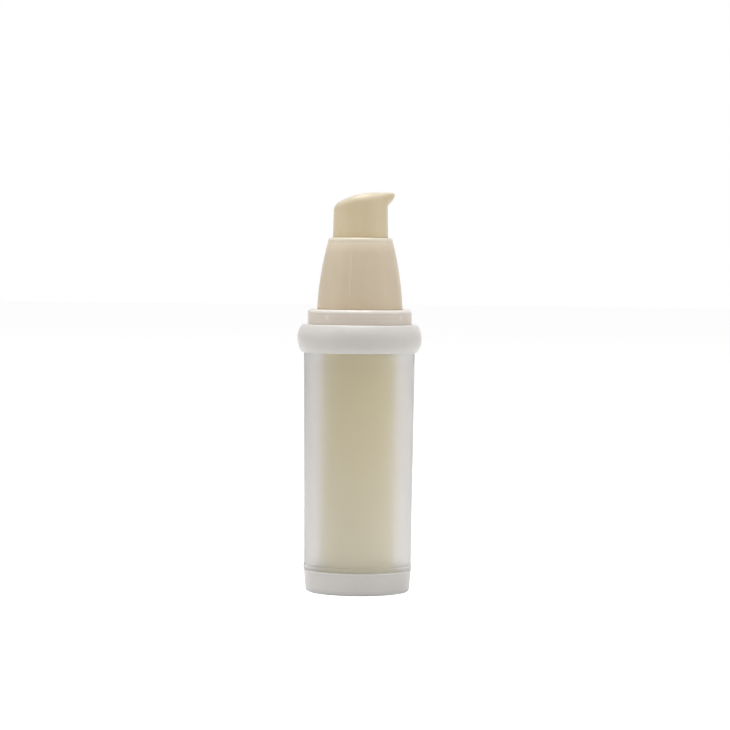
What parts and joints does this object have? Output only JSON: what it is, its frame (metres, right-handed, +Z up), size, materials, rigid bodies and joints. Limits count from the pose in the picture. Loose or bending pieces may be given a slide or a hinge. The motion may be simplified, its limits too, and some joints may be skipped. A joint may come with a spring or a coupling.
{
  "type": "lotion bottle",
  "caption": "Slim airless lotion bottle: frosted outer case, bulged shoulder ring, refill cartridge with a follower piston, and a push-down pump with a beaked head in a bell-shaped collar.",
  "frame": {"origin": "on the bottle's axis, in the plane that it stands on", "axes": "+Z up along the bottle's axis, +X the way the nozzle points"},
  "size_m": [0.0412, 0.0412, 0.132],
  "materials": {
    "white_abs": "white moulded plastic, soft gloss",
    "frosted_as": "frosted clear plastic, fine satin, with a polished clear foot band",
    "ivory_pp": "ivory moulded plastic, satin",
    "cream_pp": "cream moulded plastic, satin",
    "cream_cup": "cream moulded plastic, seen through the frosted tube",
    "natural_pp": "natural translucent white plastic",
    "soft_pe": "soft white polyethylene",
    "steel": "drawn stainless wire and polished ball"
  },
  "bodies": {
    "case": {"base_cap": "white_abs", "outer_bottle": "frosted_as", "shoulder_ring": "white_abs"},
    "cartridge": {"inner_bottle": "cream_cup", "seat_ring": "ivory_pp", "bottom_plug": "natural_pp"},
    "follower": {"follower_piston": "soft_pe"},
    "pump": {"pump_housing": "natural_pp", "chamber_cap": "natural_pp", "neck_gasket": "soft_pe", "ball_cage": "natural_pp", "return_spring": "steel"},
    "closure": {"screw_closure": "natural_pp", "collar": "cream_pp"},
    "plunger": {"stem": "natural_pp", "poppet": "natural_pp"},
    "head": {"actuator_head": "cream_pp"},
    "seal": {"pump_piston": "soft_pe"},
    "ball": {"inlet_ball": "steel"}
  },
  "joints": [
    {"name": "cartridge_lift", "type": "slide", "parent": "case", "child": "cartridge", "axis": [0, 0, 1], "range_m": [0, 0.092]},
    {"name": "follower_rise", "type": "slide", "parent": "cartridge", "child": "follower", "axis": [0, 0, 1], "range_m": [0, 0.0675]},
    {"name": "pump_rise", "type": "slide", "parent": "cartridge", "child": "pump", "axis": [0, 0, 1], "range_m": [0, 0.0045]},
    {"name": "closure_turn", "type": "hinge", "parent": "pump", "child": "closure", "pos_m": [0, 0, 0.104], "axis": [0, 0, 1], "range_deg": [0, 540]},
    {"name": "plunger_press", "type": "slide", "parent": "pump", "child": "plunger", "axis": [0, 0, -1], "range_m": [0, 0.0065], "stiffness_N_per_m": 800, "springref_m": -0.005, "deforming": ["return_spring"]},
    {"name": "head_swivel", "type": "hinge", "parent": "plunger", "child": "head", "pos_m": [0, 0, 0.1122], "axis": [0, 0, 1], "continuous": true},
    {"name": "seal_slip", "type": "slide", "parent": "plunger", "child": "seal", "axis": [0, 0, 1], "range_m": [0, 0.0008]},
    {"name": "ball_lift", "type": "slide", "parent": "pump", "child": "ball", "axis": [0, 0, 1], "range_m": [0, 0.001]}
  ],
  "couplings": [
    {"joint": "pump_rise", "follows": "closure_turn", "m_per_rad": 0.00047746}
  ]
}
